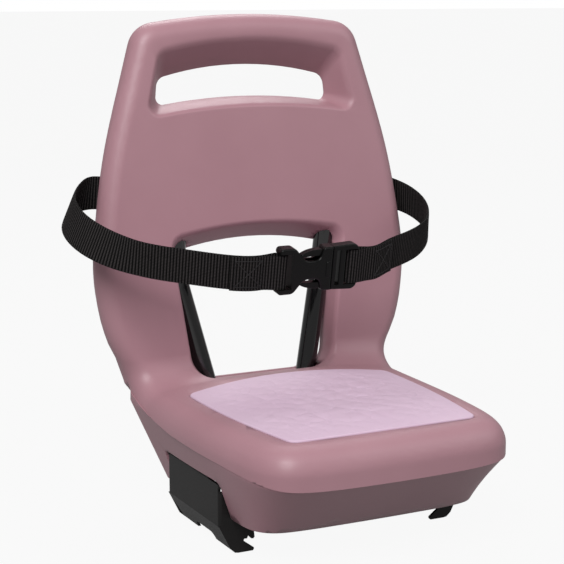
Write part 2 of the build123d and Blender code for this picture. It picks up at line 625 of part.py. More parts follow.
def jaw():
    """Folded jaw at -X: plate, foot, two claws and the leaning lower band."""
    x0 = -jaw_x
    plate = box(x0, x0 + sheet, jaw_front_y, jaw_rear_y, band_z, jaw_top_z - 2.0)
    foot = box(x0, -jaw_travel - 11.0, -foot_half_w, foot_half_w, jaw_top_z - sheet, jaw_top_z)
    riser = box(x0, x0 + sheet, -foot_half_w, foot_half_w, jaw_top_z - 10.0, jaw_top_z)
    corner = [e for e in (foot + riser).edges().filter_by(Axis.Y)
              if abs(e.center().X - x0) < 0.01 and e.center().Z > jaw_top_z - 0.01]
    top = fillet(corner, sheet)
    band_pts = [(x0, band_z + 0.01), (x0 + sheet, band_z + 0.01), (x0 + lean_x + sheet, -7.0), (x0 + lean_x, -7.0)]
    band = prism(band_pts, Plane(origin=(0, jaw_rear_y, 0), x_dir=(1, 0, 0), z_dir=(0, -1, 0)), jaw_rear_y - jaw_front_y)
    corner_cut = prism([(jaw_rear_y + 1, band_z - 3), (jaw_rear_y + 1, -12), (jaw_rear_y - 16, -12)],
                       Plane(origin=(-150, 0, 0), x_dir=(0, 1, 0), z_dir=(1, 0, 0)), 60.0)
    notch = box(-150, -90, -23.0, 13.0, -20.0, -1.0)
    notch = fillet([e for e in notch.edges().filter_by(Axis.X) if e.center().Z > -2], 5.0)
    band = band - corner_cut - notch
    t = claw_tip_x
    claw_pts = [(x0, jaw_top_z - 8.0), (x0, band_z), (x0 + lean_x, -7.0), (-t - 17.0, claw_low_z + 0.5),
                (-t - 14.0, claw_low_z), (-t - 1.0, claw_low_z), (-t, claw_low_z + 1.2), (-t, claw_low_z + 2.4),
                (-t - 9.3, -1.6), (-t - 8.8, 0.0), (-t - 6.2, 0.0), (-t - 5.2, 2.2), (-t - 3.9, 1.0), (-t - 2.4, -0.6),
                (-t - 0.6, -0.9), (-t + 0.6, 0.4), (-t, 6.0), (-t - 2.0, 12.0), (-t - 8.0, tray_bottom_z - 2.0),
                (x0 + 14.0, jaw_top_z - 18.0), (x0 + 11.0, jaw_top_z - 8.0)]
    across = jaw_rear_y - jaw_front_y
    claw_side = prism(claw_pts, Plane(origin=(0, jaw_rear_y, 0), x_dir=(1, 0, 0), z_dir=(0, -1, 0)), across)
    upper = box(x0, x0 + 40.0, jaw_front_y, jaw_rear_y, band_z, jaw_top_z - 2.0)
    upper = fillet([e for e in upper.edges().filter_by(Axis.Z) if e.center().X < x0 + 1], fold)
    core = box(x0 + sheet, x0 + 41.0, jaw_front_y + sheet, jaw_rear_y - sheet, band_z - 1, jaw_top_z)
    upper = (upper - core) & (claw_side + plate)
    between = box(-150, 0, jaw_front_y + sheet, jaw_rear_y - sheet, -40, band_z + 1)
    above = box(-150, 0, jaw_front_y - 1, jaw_rear_y + 1, band_z, 80)
    whole = upper + top + band + (claw_side - between - above)
    for y in (jaw_front_y, jaw_rear_y):
        whole = whole - rod((x0 - 5, y, jaw_top_z - 7.0), (x0 + 5, y, jaw_top_z - 7.0), 2.2)
    return whole


right_jaw = solid_of(jaw())
nut_x = jaw_travel + 22.0
nut_block = box(-nut_x - 9.0, -nut_x + 9.0, -13.0, 13.0, spindle_z - 9.0, jaw_top_z - sheet)
nut_block = fillet([e for e in nut_block.edges().filter_by(Axis.X) if e.center().Z < spindle_z], 6.0)
nut_block = nut_block - rod((-nut_x - 12, 0, spindle_z), (-nut_x + 12, 0, spindle_z), spindle_d / 2 + 0.05)
left_jaw = flip(right_jaw) - rod((jaw_x - 20, 0, spindle_z), (jaw_x + 20, 0, spindle_z), spindle_d / 2 + 1.0)
export_step(right_jaw, "parts/right_jaw.step")
export_step(solid_of(left_jaw), "parts/left_jaw.step")
export_step(nut_block, "parts/right_jaw_nut.step")
export_step(flip(nut_block), "parts/left_jaw_nut.step")

# Spindle in its bearing, with rings and knob
bearing = box(-9.0, 9.0, -15.0, 15.0, spindle_z - 9.0, jaw_top_z + 0.5)
bearing = bearing - rod((-12, 0, spindle_z), (12, 0, spindle_z), spindle_d / 2 + 0.05)
for x, y in bearing_bolts:
    bearing = bearing - rod((x, y, jaw_top_z - 8), (x, y, jaw_top_z + 6), 1.6)
export_step(bearing, "parts/spindle_bearing.step")
bearing_screw = pan_screw(1.55, 3.4, 2.2, 9.0)
export_step(Compound([Pos(x, y, floor_z) * bearing_screw for x, y in bearing_bolts]), "parts/bearing_screws.step")
spindle_end = jaw_x + 4.0
groove = 0.6
spindle = rod((-chan_len, 0, spindle_z), (spindle_end + 18.0, 0, spindle_z), spindle_d / 2)
for s, last_x in ((-1, chan_len - 3.0), (1, jaw_x - 12.0)):
    ring_cut = rod((s * 9.4, 0, spindle_z), (s * 10.6, 0, spindle_z), spindle_d / 2 + 1)
    ring_cut = ring_cut - rod((s * 9.0, 0, spindle_z), (s * 11.0, 0, spindle_z), spindle_d / 2 - groove)
    spindle = spindle - ring_cut
    x = 20.0
    while x < last_x:
        thread = rod((s * x, 0, spindle_z), (s * (x + 0.9), 0, spindle_z), spindle_d / 2 + 1)
        thread = thread - rod((s * (x - 1), 0, spindle_z), (s * (x + 2), 0, spindle_z), spindle_d / 2 - 0.5)
        spindle = spindle - thread
        x += 2.5
export_step(spindle, "parts/clamp_spindle.step")
rings = []
for s in (-1, 1):
    ring = rod((s * 9.45, 0, spindle_z), (s * 10.55, 0, spindle_z), spindle_d / 2 + 3.0)
    ring = ring - rod((s * 9.0, 0, spindle_z), (s * 11.0, 0, spindle_z), spindle_d / 2 - groove)
    rings.append(ring - box(s * 9.0, s * 11.0, -2.4, 2.4, spindle_z - 12.0, spindle_z))
export_step(Compound(rings), "parts/spindle_rings.step")
knob = rod((spindle_end, 0, spindle_z), (spindle_end + 22.0, 0, spindle_z), knob_d / 2)
knob = fillet(knob.edges().sort_by(Axis.X)[-1], 4.0)
for i in range(6):
    a = radians(60.0 * i + 30.0)
    y, z = (knob_d / 2 + 3.5) * cos(a), spindle_z + (knob_d / 2 + 3.5) * sin(a)
    knob = knob - rod((spindle_end - 1, y, z), (spindle_end + 30.0, y, z), 7.0)
knob = knob - rod((spindle_end - 1, 0, spindle_z), (spindle_end + 18.0, 0, spindle_z), spindle_d / 2)
export_step(knob, "parts/clamp_knob.step")

# Hip belt in its sloping plane, and the side-release buckle
buckle_x = 8.0
socket_x0 = buckle_x - 38.0
plug_x1 = buckle_x + 38.0


def across(face, s):
    """Sheet of webbing from its edge drawn in the belt's plane of the side s."""
    return extrude(Pos(belt_up * (-web_w / 2)) * (belt_planes[s] * face), web_w, dir=belt_up)


def strip(outer, inner):
    """Edge of the webbing between two curves."""
    return make_face([Spline(*outer), Line(outer[-1], inner[-1]), Spline(*inner), Line(inner[0], outer[0])])


belt_side = [(88.0, 9.5), (111.0, 18.5), (134.0, 28.5), (155.0, 43.0), (172.0, 64.0), (180.0, 90.0), (176.0, 112.0),
             (163.0, 128.0), (146.0, 135.5)]
loop_r = anchor_r + web_t / 2 + 0.12
gap_y = back_y(256.0) + back_thick + 7.0 - belt_front_y
bar_t = 4.0
fold_r = bar_t / 2 + web_t / 2 + 0.1
sewn_len = 50.0


def turn(x, y, r, side, angle):
    """Edge of the webbing turned round a bar, open over an angle on one side of it."""
    face = Circle(r + web_t / 2) - Circle(r - web_t / 2)
    if angle > 90.0:
        face = face - Pos(side * 20.0, 0) * Rectangle(40.0, 40.0)
    else:
        a = radians(angle)
        face = face - make_face(Polyline((0, 0), (side * 20.0, 0), (side * 20.0 * cos(a), 20.0 * sin(a)), close=True))
    return Pos(x, y) * face


def web_piece(start, s, half_w):
    """Webbing of one side, from its fold round the buckle's bar to its loop round the anchor bar."""
    ct = cos(belt_tilt[s])
    gap_s = gap_y / ct
    pts = [(start, fold_r), (start + 7.0, fold_r), (start + 21.0, 0.9)]
    pts += [(x * half_w / 180.0, y / ct) for x, y in belt_side]
    pts += [(126.0, gap_s), (113.5, gap_s - 1.5), (belt_gap_x + 0.4, gap_s - 7.0), (belt_gap_x, gap_s - 13.0),
            (anchor_x + loop_r, anchor_s[s])]
    line = Spline(*pts, tangents=[(1, 0), (0, -1)])
    outer, inner, sewn = [], [], []
    n = 90
    for i in range(n + 1):
        p = line @ (i / n)
        d = line % (i / n)
        outer.append((s * (p.X - d.Y * web_t / 2), p.Y + d.X * web_t / 2))
        inner.append((s * (p.X + d.Y * web_t / 2), p.Y - d.X * web_t / 2))
        if start + 19.0 < p.X < start + sewn_len and p.Y < 40.0:
            sewn.append((p.X + d.Y * (web_t + 0.15), p.Y - d.X * (web_t + 0.15)))
    whole = strip(outer, inner) + turn(s * anchor_x, anchor_s[s], loop_r, s, 40.0)
    front = Spline(*([(start, -fold_r), (start + 7.0, -fold_r)] + sewn), tangents=[(1, 0), (1, 0.3)])
    outer, inner = [], []
    for i in range(31):
        p = front @ (i / 30)
        d = front % (i / 30)
        outer.append((s * (p.X - d.Y * web_t / 2), p.Y + d.X * web_t / 2))
        inner.append((s * (p.X + d.Y * web_t / 2), p.Y - d.X * web_t / 2))
    whole = whole + strip(outer, inner) + turn(s * start, 0, fold_r, s, 180.0)
    return solid_of(across(whole, s))


export_step(web_piece(-socket_x0 - 5.6, -1, belt_right_w), "parts/belt_webbing_right.step")
export_step(web_piece(plug_x1 - 7.0, 1, belt_left_w), "parts/belt_webbing_left.step")

half_h = web_w / 2 + 5.5
body_t = 11.0


def in_belt(shape):
    """Shape drawn with X along the belt, Y out to the front and Z up, set on the belt's plane."""
    at = Plane(origin=(0, belt_front_y, belt_front_z), x_dir=(1, 0, 0), z_dir=belt_up)
    return at * shape


def slab_of(edges, y0, y1):
    """Outline in X and Z of the buckle, given a thickness along Y."""
    at = Plane(origin=(0, y1, 0), x_dir=(1, 0, 0), z_dir=(0, -1, 0))
    return extrude(at * make_face(edges), y1 - y0)


sx0, sx1 = socket_x0, buckle_x + 12.0
waist = [(14.0, 0.0), (24.0, 12.2), (37.4, 12.2), (41.4, 1.0)]
waist = [(sx0 + x, half_h - d) for x, d in waist]
upper = [(sx0, half_h)] + waist + [(sx1, half_h - 1.0)]
face = make_face(Polyline(*upper, *[(x, -z) for x, z in reversed(upper)], close=True))
for (x, z), r in zip(waist, (7.0, 10.0, 6.0, 2.6)):
    face = fillet([v for v in face.vertices() if abs(v.X - x) < 0.01 and abs(abs(v.Y) - z) < 0.01], r)
socket = slab_of(face.edges(), -body_t / 2, body_t / 2)
socket = fillet([e for e in socket.edges().filter_by(Axis.Y) if e.center().X < sx0 + 1.0], 3.0)
socket = fillet([e for e in socket.edges() if abs(e.center().Y + body_t / 2) < 0.01], 2.0)
socket = socket - box(sx0 + 15.0, sx1 + 1, -body_t / 2 + 2.2, body_t / 2 - 2.2, -half_h + 8.4, half_h - 8.4)
for s in (-1, 1):
    socket = socket - box(sx0 + 17.0, sx1 + 1, -body_t / 2 + 2.2, body_t / 2 - 2.2, s * (half_h - 9.0), s * (half_h - 2.6))
web_gap = web_w / 2 + 0.8
socket = socket - box(sx0 + 5.0, sx0 + 12.0, -10.0, 10.0, -web_gap, web_gap)
for s in (-1, 1):
    socket = socket - box(sx0 - 1.0, sx0 + 6.0, s * bar_t / 2, s * 10.0, -web_gap, web_gap)
bump = Plane(origin=(sx1 - 4.0, -body_t / 2 + 0.5, 0), x_dir=(1, 0, 0), z_dir=(0, -1, 0)) * SlotOverall(14.4, 4.4, rotation=90)
bump = extrude(bump, 1.3)
socket = socket + fillet(bump.faces().sort_by(Axis.Y)[0].edges(), 0.7)
socket = solid_of(socket)
px0, px1 = sx1 + 0.4, plug_x1
round_r = 6.5
plug_edges = [Polyline((px1, half_h - round_r), (px1, round_r - half_h))]
for s in (-1, 1):
    bulge = (px1 - round_r * 0.293, s * (half_h - round_r * 0.293))
    plug_edges.append(ThreePointArc((px1 - round_r, s * half_h), bulge, (px1, s * (half_h - round_r))))
    plug_edges.append(Line((px0, s * (half_h - 1.0)), (px1 - round_r, s * half_h)))
plug_edges.append(Line((px0, half_h - 1.0), (px0, 1.0 - half_h)))
plug = slab_of(plug_edges, -body_t / 2 + 1.0, body_t / 2 - 1.0)
plug = fillet([e for e in plug.edges() if abs(e.center().Y + body_t / 2 - 1.0) < 0.01], 1.6)
for x0, x1 in ((px0 + 3.5, px0 + 7.5), (px0 + 13.0, px1 - 5.4)):
    plug = plug - box(x0, x1, -10.0, 10.0, -web_gap, web_gap)
ladder = [e for e in plug.edges().filter_by(Axis.Z)
          if e.center().Y < 0 and px0 + 7.0 < e.center().X < px0 + 13.5 and abs(e.center().Z) < 0.1]
plug = fillet(ladder, 1.8)
for s in (-1, 1):
    plug = plug - box(px1 - 6.0, px1 + 1.0, s * bar_t / 2, s * 10.0, -web_gap, web_gap)
arm_t = body_t - 5.0
tongue = box(sx0 + 24.0, px0 + 1.0, -arm_t / 2 + 0.6, arm_t / 2 - 0.6, -4.0, 4.0)
plug = plug + fillet([e for e in tongue.edges().filter_by(Axis.Y) if e.center().X < px0], 2.0)
arm_top = [(px0 + 1.0, 4.2), (sx0 + 44.0, 3.4), (sx0 + 38.0, 2.9), (sx0 + 32.0, 3.3), (sx0 + 26.0, 4.7), (sx0 + 21.0, 7.0)]
arm_low = [(sx0 + 20.6, 9.4), (sx0 + 30.0, 8.6), (px0 + 1.0, 8.2)]
for s in (-1, 1):
    top = [(x, s * (half_h - d)) for x, d in arm_top]
    low = [(x, s * (half_h - d)) for x, d in arm_low]
    arm = slab_of([Spline(*top), Polyline(top[-1], *low, top[0])], -arm_t / 2, arm_t / 2)
    arm = fillet([e for e in arm.edges() if e.length > 20.0 and abs(e.center().Z) > half_h - 6.0
                  and abs(e.center().Y + arm_t / 2) < 0.01], 0.8)
    plug = plug + arm
plug = solid_of(plug)
export_step(in_belt(socket), "parts/buckle_socket.step")
export_step(in_belt(plug), "parts/buckle_plug.step")
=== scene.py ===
"""Child seat for a rear bicycle carrier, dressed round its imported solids.

Everything is in metres in the solids' frame: X to the child's left, -Y the way the child faces, Z up.
"""
import json
import logging
from dataclasses import dataclass, field
from enum import Enum
from math import cos, pi, radians, sin

import bpy
import numpy as np
from mathutils import Matrix, Vector

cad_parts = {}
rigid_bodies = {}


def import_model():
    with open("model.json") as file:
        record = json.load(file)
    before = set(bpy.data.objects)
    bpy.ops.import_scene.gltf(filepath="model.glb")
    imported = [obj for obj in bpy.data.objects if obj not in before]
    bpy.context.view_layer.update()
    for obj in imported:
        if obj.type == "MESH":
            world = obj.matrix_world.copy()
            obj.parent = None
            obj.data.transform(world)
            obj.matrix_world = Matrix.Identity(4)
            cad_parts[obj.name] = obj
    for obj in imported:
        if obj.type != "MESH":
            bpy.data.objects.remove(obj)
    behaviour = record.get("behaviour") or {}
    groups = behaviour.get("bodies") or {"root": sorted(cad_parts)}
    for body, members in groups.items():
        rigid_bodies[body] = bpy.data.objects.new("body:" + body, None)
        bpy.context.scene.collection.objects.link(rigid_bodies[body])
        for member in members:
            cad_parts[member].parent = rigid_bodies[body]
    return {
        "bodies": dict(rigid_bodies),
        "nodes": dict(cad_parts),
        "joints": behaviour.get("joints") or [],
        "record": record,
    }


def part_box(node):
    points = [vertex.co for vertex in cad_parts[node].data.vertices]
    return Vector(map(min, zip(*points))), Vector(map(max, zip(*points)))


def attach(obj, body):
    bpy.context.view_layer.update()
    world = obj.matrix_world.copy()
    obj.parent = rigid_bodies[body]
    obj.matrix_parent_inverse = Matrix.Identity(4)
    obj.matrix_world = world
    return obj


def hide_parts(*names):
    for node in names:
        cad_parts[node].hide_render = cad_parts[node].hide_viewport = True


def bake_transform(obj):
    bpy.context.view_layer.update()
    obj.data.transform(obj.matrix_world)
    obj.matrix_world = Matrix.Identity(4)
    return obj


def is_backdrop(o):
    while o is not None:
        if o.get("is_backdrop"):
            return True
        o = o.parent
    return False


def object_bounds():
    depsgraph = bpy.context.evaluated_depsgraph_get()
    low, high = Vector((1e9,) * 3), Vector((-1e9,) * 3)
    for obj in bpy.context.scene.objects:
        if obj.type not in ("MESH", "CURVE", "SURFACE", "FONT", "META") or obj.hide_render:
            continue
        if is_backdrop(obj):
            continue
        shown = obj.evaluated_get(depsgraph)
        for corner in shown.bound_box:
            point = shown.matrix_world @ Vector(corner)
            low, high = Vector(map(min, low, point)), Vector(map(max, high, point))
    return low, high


LOG = logging.getLogger("child_seat")
MM = 0.001
IMAGE_PX = 564
# Corners of a solid's triangles nearer than this are one corner
MERGE_MM = 0.002
# Faces that differ by less are one flat face, and edges sharper than the second angle are rounded
FLAT_DEG = 0.6
EDGE_DEG = 35.0
EDGE_STEPS = 2
COAT_ROUGHNESS = 0.08
# The floor lies this far under the lowest point
FLOOR_GAP_MM = 0.5


class Body(str, Enum):
    """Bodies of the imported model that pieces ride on."""

    SEAT = "seat"
    RIGHT_JAW = "right_jaw_body"
    LEFT_JAW = "left_jaw_body"
    SPINDLE = "spindle_body"
    PLUG = "plug_body"


class Slot(str, Enum):
    """Material slots of the record."""

    SHELL = "shell_plastic"
    PAD = "pad_foam"
    TUBE = "black_tube"
    STEEL = "black_steel"
    PLASTIC = "black_plastic"
    ZINC = "zinc_steel"
    WEBBING = "webbing"


class Weight(str, Enum):
    """What a face counts for in the normals at its corners."""

    AREA = "FACE_AREA"
    AREA_AND_ANGLE = "FACE_AREA_WITH_ANGLE"


def linear(hex_colour: str) -> tuple[float, float, float, float]:
    """Turn an sRGB hex colour to linear light.

    Args:
        hex_colour: Colour as #RRGGBB.

    Returns:
        Linear red, green, blue and an alpha of 1.
    """
    parts = [int(hex_colour[i:i + 2], 16) / 255.0 for i in (1, 3, 5)]
    flat = [c / 12.92 if c <= 0.04045 else ((c + 0.055) / 1.055) ** 2.4 for c in parts]
    return (flat[0], flat[1], flat[2], 1.0)


def add_node(tree: bpy.types.NodeTree, kind: str, inputs: dict | None = None,
             **settings: object) -> bpy.types.Node:
    """Add a shader node with its settings, values and links.

    Args:
        tree: Node tree of the material.
        kind: Blender's name of the node type.
        inputs: Input name or number to a value, or to a socket to link from.
        **settings: Attributes of the node itself.

    Returns:
        The new node.
    """
    node = tree.nodes.new(kind)
    for name, value in settings.items():
        setattr(node, name, value)
    for name, value in (inputs or {}).items():
        if isinstance(value, bpy.types.NodeSocket):
            tree.links.new(value, node.inputs[name])
        else:
            node.inputs[name].default_value = value
    return node


def per_metre(size_mm: float) -> float:
    """Pattern scale whose features are size_mm wide, on coordinates in metres."""
    return 1000.0 / size_mm


@dataclass(frozen=True)
class Finish:
    """A surface with a colour that varies a little and a fine grain.

    Attributes:
        name: Name of the real material.
        colour: Main colour as sRGB hex.
        shade: Second colour that the first drifts to.
        drift_mm: Size of the colour's drift.
        grain_mm: Size of the surface grain, as coarse as it needs to show.
        grain_depth_mm: Height of the grain.
        roughness: Lowest and highest roughness.
        metallic: Share of metal.
        ior: Index of refraction, kept at the default for a metal.
        coat: Weight of a clear coat.
        specular: Level of the reflection, 0.5 for a smooth surface and less for a fuzzy one.
    """

    name: str
    colour: str
    shade: str
    drift_mm: float = 60.0
    grain_mm: float = 0.9
    grain_depth_mm: float = 0.02
    roughness: tuple[float, float] = (0.4, 0.5)
    metallic: float = 0.0
    ior: float = 1.5
    coat: float = 0.0
    specular: float = 0.5

    def material(self) -> bpy.types.Material:
        """Build the node material, or return it if it was built before.

        Returns:
            The material.
        """
        made = bpy.data.materials.get(self.name)
        if made:
            return made
        mat = bpy.data.materials.new(self.name)
        mat.use_nodes = True
        tree = mat.node_tree
        tree.nodes.clear()
        shader = add_node(tree, "ShaderNodeBsdfPrincipled")
        shader.inputs["Metallic"].default_value = self.metallic
        if self.metallic < 0.5:
            shader.inputs["IOR"].default_value = self.ior
        shader.inputs["Coat Weight"].default_value = self.coat
        shader.inputs["Coat Roughness"].default_value = COAT_ROUGHNESS
        shader.inputs["Specular IOR Level"].default_value = self.specular
        self.paint(tree, shader)
        out = add_node(tree, "ShaderNodeOutputMaterial")
        tree.links.new(shader.outputs["BSDF"], out.inputs["Surface"])
        return mat

    def paint(self, tree: bpy.types.NodeTree, shader: bpy.types.Node) -> None:
        """Link colour drift, roughness and grain to the shader.

        Args:
            tree: Node tree of the material.
            shader: The principled shader.
        """
        place = add_node(tree, "ShaderNodeTexCoord").outputs["Object"]
        drift = add_node(tree, "ShaderNodeTexNoise",
                         {"Vector": place, "Scale": per_metre(self.drift_mm),
                          "Detail": 3.0, "Roughness": 0.5})
        spread = add_node(tree, "ShaderNodeMapRange",
                          {"Value": drift.outputs["Fac"], "From Min": 0.32, "From Max": 0.68})
        self.tint(tree, shader, spread.outputs["Result"])
        grain = add_node(tree, "ShaderNodeTexNoise",
                         {"Vector": place, "Scale": per_metre(self.grain_mm),
                          "Detail": 2.0, "Roughness": 0.55})
        rough = add_node(tree, "ShaderNodeMapRange",
                         {"Value": grain.outputs["Fac"], "From Min": 0.3, "From Max": 0.7,
                          "To Min": self.roughness[0], "To Max": self.roughness[1]})
        tree.links.new(rough.outputs["Result"], shader.inputs["Roughness"])
        bump = add_node(tree, "ShaderNodeBump",
                        {"Height": grain.outputs["Fac"], "Strength": 1.0,
                         "Distance": self.grain_depth_mm * MM})
        tree.links.new(bump.outputs["Normal"], shader.inputs["Normal"])

    def tint(self, tree: bpy.types.NodeTree, shader: bpy.types.Node, factor: bpy.types.NodeSocket) -> None:
        """Link the mix of both colours to the shader; the mix's colour sockets are its sixth and seventh.

        Args:
            tree: Node tree of the material.
            shader: The principled shader.
            factor: Share of the second colour.
        """
        mix = add_node(tree, "ShaderNodeMix", {0: factor, 6: linear(self.colour), 7: linear(self.shade)},
                       data_type="RGBA")
        tree.links.new(mix.outputs[2], shader.inputs["Base Color"])


@dataclass(frozen=True)
class WebbingFinish(Finish):
    """Woven polyester webbing: dull fuzzy yarn, with ribs across the strap whose colour holds a painted
    highlight on each rib and painted shade between them.

    Attributes:
        rib_mm: Spacing of the ribs, as in the strap's mesh.
        thread_mm: Spacing of the warp threads along the strap.
        fuzz_mm: Size of the yarn's fuzz.
        rib_light_range: Lowest and highest weave that the two colours are spread over, which sets how strong
            the painted highlight on the ribs and the painted shade between them are.
    """

    rib_mm: float = 2.6
    thread_mm: float = 1.3
    fuzz_mm: float = 0.9
    rib_light_range: tuple[float, float] = (0.18, 1.05)

    def paint(self, tree: bpy.types.NodeTree, shader: bpy.types.Node) -> None:
        """Link ribs, threads and fuzz on the strap's own UV, which is in metres; the ribs paint a highlight
        on each rib and shade between them into the colour.

        Args:
            tree: Node tree of the material.
            shader: The principled shader.
        """
        place = add_node(tree, "ShaderNodeTexCoord").outputs["UV"]
        # Bands across the strap that paint a highlight on each rib and shade in the grooves between them
        ribs = add_node(tree, "ShaderNodeTexWave",
                        {"Vector": place, "Scale": per_metre(self.rib_mm) * pi / 10.0},
                        wave_type="BANDS", bands_direction="Y")
        warp = add_node(tree, "ShaderNodeTexWave",
                        {"Vector": place, "Scale": per_metre(self.thread_mm) * pi / 10.0,
                         "Distortion": 2.0, "Detail": 1.0, "Detail Scale": 5.0},
                        wave_type="BANDS", bands_direction="X")
        fuzz = add_node(tree, "ShaderNodeTexNoise",
                        {"Vector": place, "Scale": per_metre(self.fuzz_mm), "Detail": 3.0, "Roughness": 0.6})
        yarn = add_node(tree, "ShaderNodeMath",
                        {0: warp.outputs["Fac"], 1: fuzz.outputs["Fac"]}, operation="ADD")
        both = add_node(tree, "ShaderNodeMath",
                        {0: ribs.outputs["Fac"], 1: yarn.outputs["Value"]}, operation="MULTIPLY")
        # The colour mix is partly the yarn's threads and fuzz, and partly painted highlight on the ribs and
        # painted shade in the grooves
        shown = add_node(tree, "ShaderNodeMapRange",
                         {"Value": both.outputs["Value"],
                          "From Min": self.rib_light_range[0], "From Max": self.rib_light_range[1]})
        self.tint(tree, shader, shown.outputs["Result"])
        rough = add_node(tree, "ShaderNodeMapRange",
                         {"Value": fuzz.outputs["Fac"],
                          "To Min": self.roughness[0], "To Max": self.roughness[1]})
        tree.links.new(rough.outputs["Result"], shader.inputs["Roughness"])
        bump = add_node(tree, "ShaderNodeBump",
                        {"Height": yarn.outputs["Value"], "Strength": 1.0,
                         "Distance": self.grain_depth_mm * MM})
        tree.links.new(bump.outputs["Normal"], shader.inputs["Normal"])


# Moulded polypropylene from a spark-eroded tool: satin, with a fine dead grain
# The real grain is about 0.3 mm and is drawn coarser to show
MAUVE_PP = Finish("moulded_polypropylene_mauve", "#A67D86", "#A17881", drift_mm=90.0, grain_mm=1.1,
                  grain_depth_mm=0.02, roughness=(0.40, 0.50), ior=1.49)
# Skinned EVA foam: soft, dull, slightly cloudy
LILAC_EVA = Finish("skinned_eva_foam_lilac", "#CFB6C9", "#CCB2C6", drift_mm=70.0, grain_mm=1.2,
                   grain_depth_mm=0.012, roughness=(0.50, 0.62), ior=1.48, specular=0.35)
# Stoved enamel on steel tube: deep black with sharp highlights and a little orange peel
BLACK_ENAMEL = Finish("stoved_enamel_black", "#070708", "#0A0A0B", drift_mm=40.0, grain_mm=3.0,
                      grain_depth_mm=0.006, roughness=(0.10, 0.16), ior=1.52, coat=0.5)
# Powder coat on sheet steel: satin black with a fine pimple
BLACK_POWDER = Finish("powder_coat_black", "#1A1818", "#151414", drift_mm=25.0, grain_mm=1.0,
                      grain_depth_mm=0.05, roughness=(0.42, 0.58), ior=1.5, specular=0.22)
# Moulded acetal: black, satin, slightly greasy highlights
BLACK_ACETAL = Finish("moulded_acetal_black", "#090909", "#070707", drift_mm=20.0, grain_mm=0.8,
                      grain_depth_mm=0.012, roughness=(0.26, 0.38), ior=1.48, specular=0.2)
# Zinc plate on steel: grey, a little blotched
ZINC_PLATE = Finish("zinc_plated_steel", "#B9BBB8", "#A5A8A6", drift_mm=8.0, grain_mm=0.9,
                    grain_depth_mm=0.01, roughness=(0.28, 0.42), metallic=1.0)
# Polyester webbing: dull black yarn, drawn near black between the ribs as painted shade and grey on the ribs
# as painted highlight
BLACK_WEBBING = WebbingFinish("polyester_webbing_black", "#040404", "#3A3737", grain_depth_mm=0.12,
                              roughness=(0.75, 0.9), specular=0.08)
# Bonded polyester sewing thread, a little shinier than the webbing
BLACK_THREAD = Finish("bonded_thread_black", "#151415", "#262425", drift_mm=2.0, grain_mm=0.6,
                      grain_depth_mm=0.06, roughness=(0.5, 0.65), specular=0.3)


def only(obj: bpy.types.Object) -> bpy.types.Object:
    """Make obj the only selected and the active object."""
    bpy.ops.object.select_all(action="DESELECT")
    obj.select_set(True)
    bpy.context.view_layer.objects.active = obj
    return obj


def apply_modifiers(obj: bpy.types.Object) -> None:
    """Apply every modifier of obj in order."""
    only(obj)
    for name in [m.name for m in obj.modifiers]:
        bpy.ops.object.modifier_apply(modifier=name)


def dress(obj: bpy.types.Object, finish: Finish) -> bpy.types.Object:
    """Give obj one material."""
    obj.data.materials.clear()
    obj.data.materials.append(finish.material())
    return obj


def copy_mesh(frame: dict, node: str) -> bpy.types.Object:
    """Copy a solid's mesh to a new object and merge its triangles.

    Args:
        frame: The loaded frame.
        node: Name of the CAD node.

    Returns:
        The new object.
    """
    obj = bpy.data.objects.new(node + "_skin", frame["nodes"][node].data.copy())
    bpy.context.scene.collection.objects.link(obj)
    only(obj)
    bpy.ops.object.mode_set(mode="EDIT")
    bpy.ops.mesh.select_all(action="SELECT")
    bpy.ops.mesh.remove_doubles(threshold=MERGE_MM * MM)
    bpy.ops.object.mode_set(mode="OBJECT")
    return obj


def round_edges(obj: bpy.types.Object, width_mm: float) -> None:
    """Join a mesh's flat faces and round its sharp edges.

    Args:
        obj: The object.
        width_mm: Width of the rounding.
    """
    only(obj)
    bpy.ops.object.mode_set(mode="EDIT")
    bpy.ops.mesh.select_all(action="SELECT")
    bpy.ops.mesh.dissolve_limited(angle_limit=radians(FLAT_DEG))
    bpy.ops.object.mode_set(mode="OBJECT")
    bevel = obj.modifiers.new("edge", "BEVEL")
    bevel.width = width_mm * MM
    bevel.segments = EDGE_STEPS
    bevel.limit_method = "ANGLE"
    bevel.angle_limit = radians(EDGE_DEG)
    bevel.use_clamp_overlap = True
    apply_modifiers(obj)


def shade(obj: bpy.types.Object, angle: float, weight: Weight) -> None:
    """Shade obj smooth, with its large faces left flat.

    Args:
        obj: The object.
        angle: Sharpest angle in degrees that is still shaded smooth.
        weight: What a face counts for at its corners.
    """
    only(obj)
    bpy.ops.object.shade_smooth_by_angle(angle=radians(angle))
    normals = obj.modifiers.new("normals", "WEIGHTED_NORMAL")
    normals.mode = weight.value
    normals.keep_sharp = True
    apply_modifiers(obj)


def smooth_copy(frame: dict, node: str, body: Body, angle: float,
                bevel_mm: float = 0.0) -> bpy.types.Object:
    """Copy a solid's mesh, round its edges a little and shade it smooth.

    Args:
        frame: The loaded frame.
        node: Name of the CAD node, which the copy replaces.
        body: Body that the copy rides on.
        angle: Sharpest angle in degrees that is still shaded smooth.
        bevel_mm: Width of the rounding on sharp edges, or 0.

    Returns:
        The new object.
    """
    obj = copy_mesh(frame, node)
    if bevel_mm > 0:
        round_edges(obj, bevel_mm)
    shade(obj, angle, Weight.AREA_AND_ANGLE)
    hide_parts(node)
    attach(obj, body.value)
    return obj


